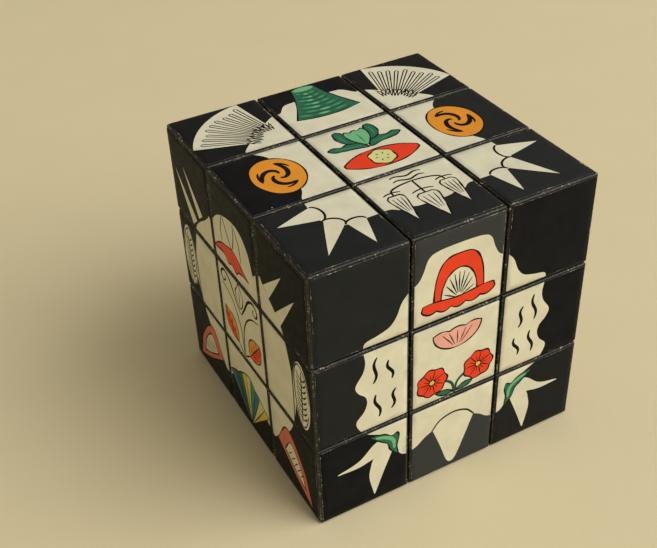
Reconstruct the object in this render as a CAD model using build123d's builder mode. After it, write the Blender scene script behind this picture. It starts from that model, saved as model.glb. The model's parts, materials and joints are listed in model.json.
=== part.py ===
"""A three by three by three twisty cube puzzle, in millimetres.

The origin is the centre of the core. +Z is up, the front is the -Y side and the right is the +X side.
Every joint face between layers is a plane square to an axis or a sphere about the origin, so any outer
layer can turn about its own axis without touching the rest.
"""

import os
from math import sqrt

from build123d import *

# ---- Driving dimensions -----------------------------------------------------------------------------
cube_side = 57.0  # the whole cube across its plastic, without the stickers
cubie_gap = 0.3  # free gap between neighbouring cubies, and between every pair of sliding faces
edge_round = 0.4  # round on the outside edges of a cubie
wall = 1.4  # moulded wall of every hollow piece

corner_neck = 2.6  # how far the track sphere stands outside a corner cubie's inner corner
corner_foot_depth = 5.0  # thickness of a corner's foot, measured along the radius
edge_foot_depth = 8.5  # thickness of an edge's foot, measured along the radius

core_ball_radius = 6.0  # the middle of the core
core_arm_radius = 3.4  # the six arms that carry the centres
core_arm_reach = 8.5  # from the origin to the end of an arm
core_arm_round = 0.5  # round on the end of an arm

spring_outer_diameter = 7.0
spring_wire = 0.6
spring_turns = 5.5
spring_length = 7.4  # as fitted, between its end coils' outer faces
spring_end_clearance = 0.02  # above and below it, so that the wire only just touches its seats
spring_side_clearance = 0.25  # between the spring and its pocket

hub_wall = 2.0  # wall of a centre's stem around the spring
hub_floor = 1.6  # floor of the stem, under the spring
hub_seat_clearance = 0.1  # between the stem's floor and the end of a core arm
hub_rise = 1.5  # how far the stem's tube stands above the screw head

screw_shank_radius = 1.3
screw_pilot_radius = 1.1  # hole in the core that the thread bites into
screw_hole_clearance = 0.2  # around the shank in the stem's floor
screw_head_radius = 2.6
screw_head_height = 1.9
screw_engagement = 6.0  # length of thread in a core arm
screw_recess_width = 0.7  # each slot of the cross recess
screw_recess_length = 2.8
screw_recess_depth = 1.1
screw_tip = 0.6  # chamfer on the point
pilot_extra = 0.6  # pilot hole past the screw's point

washer_thickness = 0.5

plug_clearance = 0.05  # between a centre cap's plug and the walls that it presses into
plug_depth = 2.0
plug_wall = 1.0

sticker_inset = 0.4  # from the side of a cubie to the edge of its sticker
sticker_thickness = 0.15
sticker_corner_round = 0.3

# ---- Places that follow from them -------------------------------------------------------------------
half = cube_side / 2
layer = cube_side / 6  # the planes between layers stand this far from the origin
near = layer + cubie_gap / 2  # inner faces of the cubies in an outer layer
side = layer - cubie_gap / 2  # side faces of the cubies in a middle layer
inside = half - wall  # inner surface of the outer walls

pocket_radius = spring_outer_diameter / 2 + spring_side_clearance
stem_radius = pocket_radius + hub_wall
foot_near = stem_radius + cubie_gap  # inner faces of the feet in an outer layer
foot_side = stem_radius  # side faces of the feet in a middle layer

track_radius = sqrt(3) * near + corner_neck
foot_radius = track_radius - cubie_gap / 2  # the feet end on this sphere
roof_radius = track_radius + cubie_gap / 2  # edges and centres are hollowed out to this one

hub_bottom = core_arm_reach + hub_seat_clearance
spring_bottom = hub_bottom + hub_floor
washer_bottom = spring_bottom + spring_length + 2 * spring_end_clearance
head_bottom = washer_bottom + washer_thickness
head_top = head_bottom + screw_head_height
# A stem's tube ends above the screw head, and in any case above the roof that carries it.
hub_top = max(head_top + hub_rise, roof_radius + wall)
screw_point = core_arm_reach - screw_engagement
screw_hole_radius = screw_shank_radius + screw_hole_clearance

cubie_width = 2 * side
sticker_side = cubie_width - 2 * sticker_inset
pitch = near + (half - near) / 2  # from the origin to the middle of a cubie in an outer layer
nearly = 0.001  # for choosing edges by where they lie
past = 1.0  # cuts run this far past the faces that they open

LOW = (Align.MIN, Align.MIN, Align.MIN)
EDGE_ALIGN = (Align.CENTER, Align.MIN, Align.MIN)
ON_FLOOR = (Align.CENTER, Align.CENTER, Align.MIN)

os.makedirs("parts", exist_ok=True)


# ---- Corner cubie, in the +X +Y +Z octant -----------------------------------------------------------
with BuildPart() as corner_foot:
    with Locations((foot_near, foot_near, foot_near)):
        Box(track_radius, track_radius, track_radius, align=LOW)
    Sphere(foot_radius, mode=Mode.INTERSECT)
    Sphere(foot_radius - corner_foot_depth, mode=Mode.SUBTRACT)

with BuildPart() as corner_base:
    with Locations((near, near, near)):
        Box(inside - near, inside - near, inside - near, align=LOW)
    with Locations((near + wall, near + wall, near + wall)):
        Box(half, half, half, align=LOW, mode=Mode.SUBTRACT)
    add(corner_foot.part)

with BuildPart() as corner_cap:
    with Locations((near, near, near)):
        Box(half - near, half - near, half - near, align=LOW)
    outer_edges = corner_cap.edges().filter_by(lambda e: max(e.center()) > half - nearly)
    fillet(outer_edges, edge_round)
    with Locations((inside, inside, inside)):
        Box(half, half, half, align=(Align.MAX, Align.MAX, Align.MAX), mode=Mode.SUBTRACT)


# ---- Edge cubie, between the +Y and +Z sides --------------------------------------------------------
with BuildPart() as edge_cavity:
    with Locations((0, near + wall, near + wall)):
        Box(cubie_width - 2 * wall, half, half, align=EDGE_ALIGN)
    Sphere(roof_radius + wall, mode=Mode.SUBTRACT)

with BuildPart() as edge_foot:
    with Locations((0, foot_near, foot_near)):
        Box(2 * foot_side, track_radius, track_radius, align=EDGE_ALIGN)
    Sphere(foot_radius, mode=Mode.INTERSECT)
    Sphere(foot_radius - edge_foot_depth, mode=Mode.SUBTRACT)

with BuildPart() as edge_neck:
    with Locations((0, near, near)):
        Box(2 * foot_side, track_radius, track_radius, align=EDGE_ALIGN)
    Sphere(roof_radius + wall / 2, mode=Mode.INTERSECT)

with BuildPart() as edge_base:
    with Locations((0, near, near)):
        Box(cubie_width, inside - near, inside - near, align=EDGE_ALIGN)
    Sphere(roof_radius, mode=Mode.SUBTRACT)
    add(edge_cavity.part, mode=Mode.SUBTRACT)
    add(edge_neck.part)
    add(edge_foot.part)

with BuildPart() as edge_cap:
    with Locations((0, near, near)):
        Box(cubie_width, half - near, half - near, align=EDGE_ALIGN)
    outer_edges = edge_cap.edges().filter_by(lambda e: max(e.center().Y, e.center().Z) > half - nearly)
    fillet(outer_edges, edge_round)
    with Locations((0, inside, inside)):
        Box(cube_side, half, half, align=(Align.CENTER, Align.MAX, Align.MAX), mode=Mode.SUBTRACT)


# ---- Centre cubie, on the +Z side -------------------------------------------------------------------
with BuildPart() as centre_cavity:
    with Locations((0, 0, near)):
        Box(cubie_width - 2 * wall, cubie_width - 2 * wall, half, align=ON_FLOOR)
    Sphere(roof_radius + wall, mode=Mode.SUBTRACT)

with BuildPart() as centre_body:
    with Locations((0, 0, near)):
        Box(cubie_width, cubie_width, inside - near, align=ON_FLOOR)
    Sphere(roof_radius, mode=Mode.SUBTRACT)
    add(centre_cavity.part, mode=Mode.SUBTRACT)
    with BuildSketch(Plane.XY.offset(hub_bottom)):
        Circle(stem_radius)
    extrude(amount=hub_top - hub_bottom)
    with BuildSketch(Plane.XY.offset(spring_bottom)):
        Circle(pocket_radius)
    extrude(amount=half, mode=Mode.SUBTRACT)
    with BuildSketch(Plane.XY.offset(hub_bottom - past)):
        Circle(screw_hole_radius)
    extrude(amount=hub_floor + 2 * past, mode=Mode.SUBTRACT)

with BuildPart() as centre_cap:
    with Locations((0, 0, inside)):
        Box(cubie_width, cubie_width, wall, align=ON_FLOOR)
    fillet(centre_cap.faces().sort_by(Axis.Z)[-1].edges(), edge_round)
    with BuildSketch(Plane.XY.offset(inside)):
        Rectangle(cubie_width - 2 * wall - 2 * plug_clearance, cubie_width - 2 * wall - 2 * plug_clearance)
        offset(amount=-plug_wall, mode=Mode.SUBTRACT)
    extrude(amount=-plug_depth)


# ---- Spring, screw and washer under the +Z centre ---------------------------------------------------
spring_radius = (spring_outer_diameter - spring_wire) / 2
spring_rise = spring_length - spring_wire
spring_start = spring_bottom + spring_end_clearance + spring_wire / 2

with BuildPart() as spring:
    with BuildLine() as coil:
        Helix(pitch=spring_rise / spring_turns, height=spring_rise, radius=spring_radius,
              center=(0, 0, spring_start))
    with BuildSketch(Plane(origin=coil.line @ 0, z_dir=coil.line % 0)):
        Circle(spring_wire / 2)
    sweep(path=coil.line, is_frenet=True)

with BuildPart() as washer:
    with BuildSketch(Plane.XY.offset(washer_bottom)):
        Circle(spring_outer_diameter / 2)
        Circle(screw_hole_radius, mode=Mode.SUBTRACT)
    extrude(amount=washer_thickness)

with BuildPart() as screw:
    with BuildSketch(Plane.XY.offset(screw_point)):
        Circle(screw_shank_radius)
    extrude(amount=head_bottom - screw_point)
    chamfer(screw.faces().sort_by(Axis.Z)[0].edges(), screw_tip)
    with BuildSketch(Plane.XY.offset(head_bottom)):
        Circle(screw_head_radius)
    extrude(amount=screw_head_height)
    fillet(screw.faces().sort_by(Axis.Z)[-1].edges(), screw_head_height / 3)
    with BuildSketch(Plane.XY.offset(head_top)):
        Rectangle(screw_recess_length, screw_recess_width)
        Rectangle(screw_recess_width, screw_recess_length)
    extrude(amount=-screw_recess_depth, mode=Mode.SUBTRACT)


# ---- Core -------------------------------------------------------------------------------------------
with BuildPart() as core:
    Sphere(core_ball_radius)
    for direction in (Axis.X, Axis.Y, Axis.Z):
        with BuildSketch(Plane(origin=(0, 0, 0), z_dir=direction.direction)):
            Circle(core_arm_radius)
        extrude(amount=core_arm_reach, both=True)
    arm_ends = core.edges().filter_by(GeomType.CIRCLE).filter_by(
        lambda e: max(abs(v) for v in e.center()) > core_arm_reach - nearly)
    fillet(arm_ends, core_arm_round)
    for direction in (Axis.X, Axis.Y, Axis.Z):
        for way in (1, -1):
            with BuildSketch(Plane(origin=direction.direction * (way * (screw_point - pilot_extra)),
                                   z_dir=direction.direction * way)):
                Circle(screw_pilot_radius)
            extrude(amount=core_arm_reach, mode=Mode.SUBTRACT)


# ---- Stickers ---------------------------------------------------------------------------------------
with BuildPart() as sticker:
    with BuildSketch(Plane.XY.offset(half)):
        RectangleRounded(sticker_side, sticker_side, sticker_corner_round)
    extrude(amount=sticker_thickness)


# ---- Placing the copies -----------------------------------------------------------------------------
# Each side is reached by turning the +Z side: first about X, then about Z.
SIDES = {
    "top": (0, 0),
    "bottom": (180, 0),
    "front": (90, 0),
    "right": (90, 90),
    "back": (90, 180),
    "left": (90, 270),
}
AROUND = ("back", "left", "front", "right")  # where the +Y side goes, a quarter turn about Z at a time
CORNERS = ("back_right", "back_left", "front_left", "front_right")  # the same for the +X +Y corner


def turned(part, about_x=0, about_y=0, about_z=0):
    """A copy of the part, turned about the X, Y and Z axes in that order."""
    return part.rotate(Axis.X, about_x).rotate(Axis.Y, about_y).rotate(Axis.Z, about_z)


def write(part, name):
    """Names the part and writes its STEP file."""
    part.label = name
    export_step(part, f"parts/{name}.step")


def write_group(parts, name):
    """Writes several separate solids as one node."""
    with BuildPart() as group:
        add(parts)
    write(group.part, name)


def write_corners():
    """Eight caps, and the bases of the four corners in the top and the bottom layer."""
    for level, about_x in (("top", 0), ("bottom", 180)):
        bases = []
        for quarter in range(4):
            # Turning over about X swaps front and back, so the bottom corners start a quarter later.
            about_z = 90 * quarter if level == "top" else 90 * (quarter + 1)
            write(turned(corner_cap.part, about_x, 0, about_z), f"corner_cap_{level}_{CORNERS[quarter]}")
            bases.append(turned(corner_base.part, about_x, 0, about_z))
        write_group(bases, f"{level}_corner_bases")


def write_edges():
    """Twelve caps, and the bases of the four edges in each layer."""
    for level, about_x, about_y, shift in (("top", 0, 0, 0), ("middle", 0, 90, 0), ("bottom", 180, 0, 2)):
        names = CORNERS if level == "middle" else AROUND
        bases = []
        for quarter in range(4):
            about_z = 90 * (quarter + shift)
            write(turned(edge_cap.part, about_x, about_y, about_z), f"edge_cap_{level}_{names[quarter]}")
            bases.append(turned(edge_base.part, about_x, about_y, about_z))
        write_group(bases, f"{level}_edge_bases")


def write_centres():
    """Six centres, each a body, a cap and a spring, with their screws and washers."""
    for name, (about_x, about_z) in SIDES.items():
        write(turned(centre_body.part, about_x, 0, about_z), f"centre_body_{name}")
        write(turned(centre_cap.part, about_x, 0, about_z), f"centre_cap_{name}")
        write(turned(spring.part, about_x, 0, about_z), f"spring_{name}")
    write_group([turned(screw.part, x, 0, z) for x, z in SIDES.values()], "tension_screws")
    write_group([turned(washer.part, x, 0, z) for x, z in SIDES.values()], "washers")
    write(core.part, "core")


def stickers_at(places, about_x=0, about_z=0):
    """Copies of the +Z sticker shifted to cubie columns and rows, then turned to one side of the cube."""
    return [turned(sticker.part.translate((column * pitch, row * pitch, 0)), about_x, 0, about_z)
            for column, row in places]


def write_stickers():
    """Fifty-four stickers: one node for each centre, and one for each group that turns together."""
    around_centre = [(c, r) for c in (-1, 0, 1) for r in (-1, 0, 1) if (c, r) != (0, 0)]
    for name, (about_x, about_z) in SIDES.items():
        write_group(stickers_at([(0, 0)], about_x, about_z), f"centre_sticker_{name}")
        if name in ("top", "bottom"):
            write_group(stickers_at(around_centre, about_x, about_z), f"{name}_face_stickers")
    for level, row, columns in (("top", 1, (-1, 0, 1)), ("middle", 0, (-1, 1)), ("bottom", -1, (-1, 0, 1))):
        around = []
        for about_x, about_z in [SIDES[n] for n in ("front", "right", "back", "left")]:
            around += stickers_at([(c, row) for c in columns], about_x, about_z)
        write_group(around, f"{level}_row_stickers")


write_corners()
write_edges()
write_centres()
write_stickers()
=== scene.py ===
"""The looks of a three by three by three twisty cube with printed labels.

The cubies, caps and inner parts are the frame's own nodes with new materials. Each of the 54 labels is
a new piece: a thin plate whose top is cut into areas of ink, so that the printed lines are as sharp as
the mesh. One ornament of fans, leaves, flowers and rays covers each side of the cube, across its nine
labels. Ornaments are drawn in millimetres from the middle of a side, to the right and up. Each of the
six springs is a new piece too.
"""

import json

import bpy
import numpy as np
from mathutils import Matrix, Vector, geometry


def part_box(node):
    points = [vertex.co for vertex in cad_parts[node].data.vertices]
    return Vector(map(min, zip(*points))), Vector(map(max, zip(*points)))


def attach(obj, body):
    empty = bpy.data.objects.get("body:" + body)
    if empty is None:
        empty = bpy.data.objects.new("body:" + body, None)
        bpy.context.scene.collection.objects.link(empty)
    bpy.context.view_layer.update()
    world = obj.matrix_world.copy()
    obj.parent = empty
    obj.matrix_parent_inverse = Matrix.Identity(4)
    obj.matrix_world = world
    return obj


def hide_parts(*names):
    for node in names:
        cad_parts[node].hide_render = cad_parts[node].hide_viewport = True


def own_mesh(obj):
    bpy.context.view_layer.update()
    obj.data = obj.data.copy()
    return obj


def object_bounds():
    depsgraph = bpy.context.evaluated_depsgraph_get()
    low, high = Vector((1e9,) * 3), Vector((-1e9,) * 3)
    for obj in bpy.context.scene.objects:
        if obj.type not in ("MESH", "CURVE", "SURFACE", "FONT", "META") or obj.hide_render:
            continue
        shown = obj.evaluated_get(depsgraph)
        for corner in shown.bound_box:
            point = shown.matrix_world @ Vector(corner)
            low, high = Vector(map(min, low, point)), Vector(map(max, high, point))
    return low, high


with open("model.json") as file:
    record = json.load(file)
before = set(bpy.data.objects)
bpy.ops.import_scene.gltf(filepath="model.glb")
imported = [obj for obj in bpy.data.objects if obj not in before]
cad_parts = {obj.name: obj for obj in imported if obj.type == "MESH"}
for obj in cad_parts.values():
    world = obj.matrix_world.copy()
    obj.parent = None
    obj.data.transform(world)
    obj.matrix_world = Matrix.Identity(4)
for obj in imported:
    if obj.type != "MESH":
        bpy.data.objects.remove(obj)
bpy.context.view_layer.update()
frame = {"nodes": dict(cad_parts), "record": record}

MM = 0.001
SEED = 57

# ---- Places taken from the frame --------------------------------------------------------------------
label_low, label_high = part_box("centre_sticker_top")
LABEL_SIDE = (label_high.x - label_low.x) / MM
LABEL_FOOT = label_low.z / MM  # the plastic under a label
LABEL_TOP = label_high.z / MM
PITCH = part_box("top_face_stickers")[1].x / MM - LABEL_SIDE / 2  # between the middles of two labels
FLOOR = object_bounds()[0].z
CUBIE_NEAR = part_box("corner_cap_top_back_right")[0].x / MM  # side planes of the outer cubies
CUBIE_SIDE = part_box("centre_cap_top")[1].x / MM  # side planes of the middle cubies

# ---- Sizes of the labels' own detail ----------------------------------------------------------------
LABEL_CORNER = 0.35  # round of a label's corners
LABEL_BEVEL = 0.03  # soft top edge left by the cut
LABEL_SHIFT = 0.05  # how far a label was stuck off its middle, at most
LABEL_TURN = 0.25  # how far it was stuck askew, in degrees, at most
LABEL_WAVE = 0.012  # how far its face rises and falls
LABEL_SWELL = (0.31, 0.27)  # how fast it does so to the right and up, in radians per millimetre
LABEL_GRID = 9  # points each way inside its face, which let it bend
PAINTED_SHEEN_MOST = 0.35  # how far a painted sheen lightens a label's black, at most, from 0 to 1
PAINTED_SHEEN_FRONT = 0.55  # and how much more painted sheen there is in the middle column of the front
LINE = 0.30  # width of the printed outlines
LONGEST_MITRE = 2.2  # reach of an outline's corners, in line widths
SAME_POINT = 1e-4  # points of an outline nearer than this are one
SAME_CUT = 1e-5  # and points of a cut label

# ---- The springs' own detail ------------------------------------------------------------------------
SPRING_WIRE = 0.6
SPRING_TURNS = 5.5
SPRING_STEPS = 46  # rings of points in a turn
SPRING_FACETS = 12  # points in a ring
SPRING_CLOSE = 0.6  # how far the ends' coils close up, from 0 to 1

# ---- Floor, light and camera, in metres, watts and degrees ------------------------------------------
FLOOR_LEVEL = 2.4  # radius of the level part
FLOOR_BEND = 1.6  # radius of the curve up beyond it
FLOOR_FACETS = 96
KEY_PLACE = (1.20, -1.34, 1.66)
KEY_SIZE = 2.2
KEY_POWER = 59.0
KEY_COLOUR = (1.0, 0.98, 0.93)
ROOM_COLOUR = (1.0, 0.93, 0.80, 1)
ROOM_STRENGTH = 0.31
CAMERA_TURN = (-27.30, 37.10, -2.65)  # azimuth, elevation and roll
CAMERA_OFFSET = (-0.00879, -0.00023, 0.2053)  # right, up and back from the middle of the cube
CAMERA_LENS = 56.97

# ---- Each side's own right, up and outward directions -----------------------------------------------
SIDES = {
    "top": ((1, 0, 0), (0, 1, 0), (0, 0, 1)),
    "bottom": ((1, 0, 0), (0, -1, 0), (0, 0, -1)),
    "front": ((1, 0, 0), (0, 0, 1), (0, -1, 0)),
    "right": ((0, 1, 0), (0, 0, 1), (1, 0, 0)),
    "back": ((-1, 0, 0), (0, 0, 1), (0, 1, 0)),
    "left": ((0, -1, 0), (0, 0, 1), (-1, 0, 0)),
}
COLUMNS = {-1: "left", 0: "centre", 1: "right"}
ROWS = {1: "upper", 0: "middle", -1: "lower"}
LEVELS = {1: "top", 0: "middle", -1: "bottom"}

# ---- Printed inks, as linear colours ----------------------------------------------------------------
INKS = {
    "black": (0.0069, 0.0070, 0.0081),
    "line": (0.0080, 0.0075, 0.0080),
    "cream": (0.765, 0.738, 0.565),
    "red": (0.860, 0.048, 0.010),
    "orange": (0.820, 0.310, 0.022),
    "green": (0.017, 0.150, 0.078),
    "mint": (0.170, 0.500, 0.250),
    "jade": (0.050, 0.300, 0.150),
    "pine": (0.010, 0.075, 0.042),
    "pink": (0.900, 0.420, 0.335),
    "lime": (0.720, 0.720, 0.300),
    "salmon": (0.700, 0.170, 0.095),
    "yellow": (0.760, 0.560, 0.080),
    "blue": (0.030, 0.190, 0.300),
}

# ---- Plain colours, worn colours, painted sheen and metals, as linear colours -----------------------
PLASTIC = (0.0075, 0.0075, 0.0078), (0.014, 0.0135, 0.013)
PLASTIC_RUBBED = (0.042, 0.038, 0.028)
PLASTIC_NICKED = (0.50, 0.47, 0.35)
NATURAL = (0.62, 0.60, 0.53), (0.72, 0.71, 0.65)
SPRING_STEEL = (0.56, 0.56, 0.57), (0.44, 0.43, 0.42)
SCREW_STEEL = (0.66, 0.66, 0.64), (0.55, 0.53, 0.48)
# Black ink lightened by a painted sheen, which stands in for light reflected off some labels
BLACK_SHEEN = (0.050, 0.056, 0.055)
LABEL_RUBBED = (0.050, 0.045, 0.032)
LABEL_CHIPPED = (0.54, 0.50, 0.37)
LABEL_DUST = (0.66, 0.64, 0.56)
CUT_FILM = (0.014, 0.013, 0.011)
CUT_PAPER = (0.26, 0.23, 0.16)
FLOOR_PAPER = (0.73, 0.64, 0.41), (0.76, 0.67, 0.44)


# ======== Drawing: outlines as arrays of points ======================================================
def xy(x, y):
    """Points from their two coordinates."""
    return np.stack([x, y], 1)


def polar(radius, angle):
    """Points from their distance and angle."""
    return xy(radius * np.cos(angle), radius * np.sin(angle))


def smooth(points, closed=True, steps=9):
    """A curve through the points. Each stretch is the cubic whose slope at a point is half the step
    between that point's two neighbours."""
    p = np.asarray(points, float)
    if closed:
        a, b, c, d = (np.roll(p, k, axis=0) for k in (1, 0, -1, -2))
    else:
        q = np.vstack([2 * p[0] - p[1], p, 2 * p[-1] - p[-2]])
        a, b, c, d = q[:-3], q[1:-2], q[2:-1], q[3:]
    a, b, c, d = (x[:, None] for x in (a, b, c, d))
    t = np.linspace(0, 1, steps, endpoint=False)[None, :, None]
    cubic = 2 * b + (c - a) * t + (2 * a - 5 * b + 4 * c - d) * t**2 + (3 * b - a - 3 * c + d) * t**3
    line = (cubic / 2).reshape(-1, 2)
    return line if closed else np.vstack([line, p[-1]])


def curve(points):
    """The same curve, open: it starts at the first point and ends at the last."""
    return smooth(points, closed=False)


def mirrored(half, steps=6):
    """A smooth closed outline that is the same on both sides. The points given run down its right side,
    from the middle of its top to the middle of its foot."""
    right = np.asarray(half, float)
    return smooth(np.vstack([right, right[-2:0:-1] * (-1, 1)]), steps=steps)


def placed(points, at=(0, 0), degrees=0.0):
    """The points turned about the origin and then shifted."""
    r = np.radians(degrees)
    turn = np.array([[np.cos(r), np.sin(r)], [-np.sin(r), np.cos(r)]])
    return np.asarray(points, float) @ turn + at


def ellipse(across, up, wobble=0.0, steps=44):
    """Across and up times the cosine and sine of the angle, with a slow ripple for a hand-cut edge."""
    t = np.linspace(0, 2 * np.pi, steps, endpoint=False)
    r = 1 + wobble * np.sin(3 * t + 1)
    return polar(r, t) * (across / 2, up / 2)


def lens(length, width, steps=14):
    """Two arcs that meet in points: the half width falls off as one less the square of the distance."""
    x = np.linspace(-1, 1, steps)
    y = width / 2 * (1 - x**2)
    low = xy(x * length / 2, -y)
    high = xy(x[::-1] * length / 2, y)
    return np.vstack([low[:-1], high[:-1]])


def ray(base, tip, width, fall=1.0, swell=0.1):
    """A pointed leaf from base to tip: its half width is a power of the distance left to the tip, and
    swells a little on the way."""
    base, tip = np.asarray(base, float), np.asarray(tip, float)
    along = tip - base
    across = np.array([-along[1], along[0]]) / np.hypot(*along)
    s = np.linspace(0, 1, 9)[:, None]
    half = width / 2 * (1 - s) ** fall * (1 + swell * s)
    right = base + s * along - half * across
    left = base + s * along + half * across
    return np.vstack([right, left[-2::-1]])


def rosette(radius, petals, depth, steps=56):
    """The radius swells with the cosine of so many times the angle."""
    t = np.linspace(0, 2 * np.pi, steps, endpoint=False)
    return polar(radius * (1 + depth * np.cos(petals * t)), t)


def spiral(inner, outer, turns, steps):
    """A line whose radius grows evenly with its angle."""
    s = np.linspace(0, 1, steps)
    return polar(inner + (outer - inner) * s, 2 * np.pi * turns * s)


def wave(length, height, humps=1.0):
    """An upright line that swings to both sides as a sine."""
    s = np.linspace(0, 1, 22)
    return xy(height * np.sin(2 * np.pi * humps * s), length * (s - 0.5))


def arc(radius, start, end, steps=18):
    """Part of a circle between two angles in degrees."""
    return polar(radius, np.radians(np.linspace(start, end, steps)))


def stroke(path, width=LINE, taper=0.45):
    """A pen line: the path widened to both sides, thinner where the pen was set down and lifted."""
    p = np.asarray(path, float)
    steps = np.hypot(*np.diff(p, axis=0).T)
    s = np.concatenate([[0], np.cumsum(steps)]) / steps.sum()
    slope = np.gradient(p, axis=0)
    across = xy(-slope[:, 1], slope[:, 0]) / np.hypot(*slope.T)[:, None]
    half = width / 2 * (taper + (1 - taper) * np.sqrt(np.abs(np.sin(np.pi * s))))[:, None]
    return np.vstack([p - half * across, (p + half * across)[::-1]])


def anticlockwise(outline):
    """The outline without repeated points, running with its inside on the left."""
    gap = np.hypot(*(outline - np.roll(outline, 1, axis=0)).T)
    p = outline[gap > SAME_POINT]
    q = np.roll(p, -1, axis=0)
    return p if (p[:, 0] * q[:, 1] - q[:, 0] * p[:, 1]).sum() > 0 else p[::-1]


def grown(outline, by):
    """The outline moved outwards: each point goes along the bisector of its two edges, and further at a
    corner, so that the edges themselves move by the same distance, up to the longest mitre."""
    p = anticlockwise(np.asarray(outline, float))
    ahead = np.roll(p, -1, axis=0) - p
    ahead /= np.hypot(*ahead.T)[:, None]
    normal = xy(ahead[:, 1], -ahead[:, 0])
    both = normal + np.roll(normal, 1, axis=0)
    square = np.maximum((both**2).sum(1), (2 / LONGEST_MITRE) ** 2)
    return p + np.asarray(by).reshape(-1, 1) * both * (2 / square)[:, None]


class Ornament:
    """The areas of one side, in the order in which they are printed: each covers those before it."""

    def __init__(self, seed):
        self.areas = []
        self.random = np.random.default_rng(SEED + seed)

    def fill(self, ink, outline):
        """An area of one ink with no outline."""
        self.areas.append((ink, anticlockwise(np.asarray(outline, float))))

    def uneven(self, count):
        """A pen line's half width at each point: its mean with a few slow ripples of random phase."""
        s = np.linspace(0, 2 * np.pi, count, endpoint=False)
        phases = self.random.uniform(0, 2 * np.pi, 3)
        ripple = sum(np.sin(k * s + phase) for k, phase in zip((3, 5, 8), phases))
        return LINE / 2 * (1 + 0.16 * ripple)

    def outlined(self, ink, outline):
        """An area with a drawn outline: the line's ink a little wider, the fill a little narrower."""
        p = anticlockwise(np.asarray(outline, float))
        half = self.uneven(len(p))
        self.areas.append(("line", anticlockwise(grown(p, half))))
        self.areas.append((ink, anticlockwise(grown(p, -half))))

    def line(self, path, width=LINE, ink="line", taper=0.45):
        """A pen line along a path."""
        self.areas.append((ink, anticlockwise(stroke(path, width, taper))))


def both_sides(draw):
    """Draws something on the right, and its mirror image on the left."""
    for way in (1, -1):
        draw(lambda points, way=way: np.asarray(points, float) * (way, 1))


# ======== Motifs =====================================================================================
def folded_fan(o, side):
    """An open fan: a cream sector, nine folds each drawn as a narrow loop, and zigzag collars of
    uneven height where the folds are gathered."""
    at, start, end = (11.3, 10.6), 18, 81
    o.fill("cream", side(placed(np.vstack([arc(17.6, start, end, 16), arc(0.2, end, start, 16)]), at)))
    for degrees in np.linspace(start + 5, end - 5, 9):
        length = 15.6 + o.random.uniform(-0.5, 0.4)
        fold = [(7.0, 0.24), (length, 0.36), (length + 0.3, 0), (length, -0.36), (7.0, -0.24)]
        o.line(side(placed(fold, at, degrees)), 0.27, taper=0.9)
    for rise, depth, teeth in ((4.9, 2.3, 22), (6.4, 1.2, 16)):
        turns = np.radians(np.linspace(start - 3, end + 5, teeth))
        reach = rise + np.where(np.arange(teeth) % 2, depth, 0) + o.random.uniform(-0.35, 0.35, teeth)
        crest = polar(reach, turns) + at
        for k in range(teeth - 1):
            o.line(side(crest[k:k + 2]), taper=0.8)


def star_rays(o, side, rays, hub):
    """A cream corner that ends in pointed rays. A drawn bow crosses each foot, bulging to the hub."""
    hub = np.asarray(hub, float)
    for tip, foot, width in rays:
        tip, foot = np.asarray(tip, float), np.asarray(foot, float)
        o.fill("cream", side(ray(foot + (hub - foot) * 0.12, tip, width)))
        direction = np.degrees(np.arctan2(*(tip - foot)[::-1]))
        bow = placed(arc(width * 0.5, 96, 264) * (0.62, 1), foot, direction)
        o.line(side(bow), 0.46, taper=0.7)


def whorled_disc(o, at, across, up, turned):
    """An orange disc with three brushed commas that curl out from its middle, and a thin bow at the end
    of each. A comma is part of a spiral, a third of a turn from the last."""
    o.outlined("orange", placed(ellipse(across, up, 0.012), at))
    comma, bow = spiral(0.12, 0.66, 0.42, 16), arc(0.70, -16, 34, 8)
    for shape, width, taper in ((comma, 0.95, 0.25), (bow, 0.5, 0.3)):
        for k in range(3):
            spun = placed(shape, degrees=turned + 120 * k) * (across / 2, up / 2)
            o.line(spun + at, width, taper=taper)


def fruit_slice(o, at, across, segments=8):
    """An orange disc with a pale ring inside its rim and a wheel of narrow drops."""
    o.outlined("orange", placed(ellipse(across, across, 0.012), at))
    o.fill("lime", placed(ellipse(across * 0.78, across * 0.78), at))
    drop = ray((across * 0.37, 0), (across * 0.06, 0), across * 0.24, 0.8, 0.0)
    for degrees in np.arange(segments) * 360 / segments:
        o.fill("orange", placed(drop, at, degrees))


def ribbed_bell(o):
    """A green bell: its half width grows from the waist to the hem as a power of the depth. Each of
    seven folds is a dark shallow arc with three pale lenses above it."""
    foot, top, waist, hem, sag = 14.7, 27.3, 2.6, 6.8, 1.1
    deep = top - foot - sag
    s = np.linspace(0, 1, 12)
    half = waist + (hem - waist) * s**1.5
    v = top - deep * s
    hem_arc = xy(np.linspace(hem, -hem, 14), foot + sag * np.linspace(-1, 1, 14) ** 2)
    cap = xy(np.linspace(-waist, waist, 8), top + 0.5 * (1 - np.linspace(-1, 1, 8) ** 2))
    o.outlined("green", np.vstack([xy(half, v), hem_arc[1:-1], xy(-half[::-1], v[::-1]), cap[1:-1]]))
    o.fill("mint", placed(ellipse(2 * waist - 0.7, 1.7), (0, top - 0.5)))
    x = np.linspace(-1, 1, 14)
    for row, step in enumerate(np.linspace(0.16, 0.92, 7)):
        reach = waist + (hem - waist) * step**1.5 - 0.4
        level = top - deep * step + 0.3
        o.line(xy(x * reach, level - sag * (1 - x**2) - 0.75), 0.34, "pine", 0.6)
        for middle, ink_name in zip((-0.62, -0.12, 0.48), ("jade", "mint", "jade")):
            middle += o.random.uniform(-0.10, 0.10) + (0.07 if row % 2 else -0.07)
            pale = lens(reach * o.random.uniform(0.42, 0.62), 0.66, 7)
            o.fill(ink_name, placed(pale, (middle * reach, level - sag * (1 - middle**2)), 22 * middle))


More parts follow.
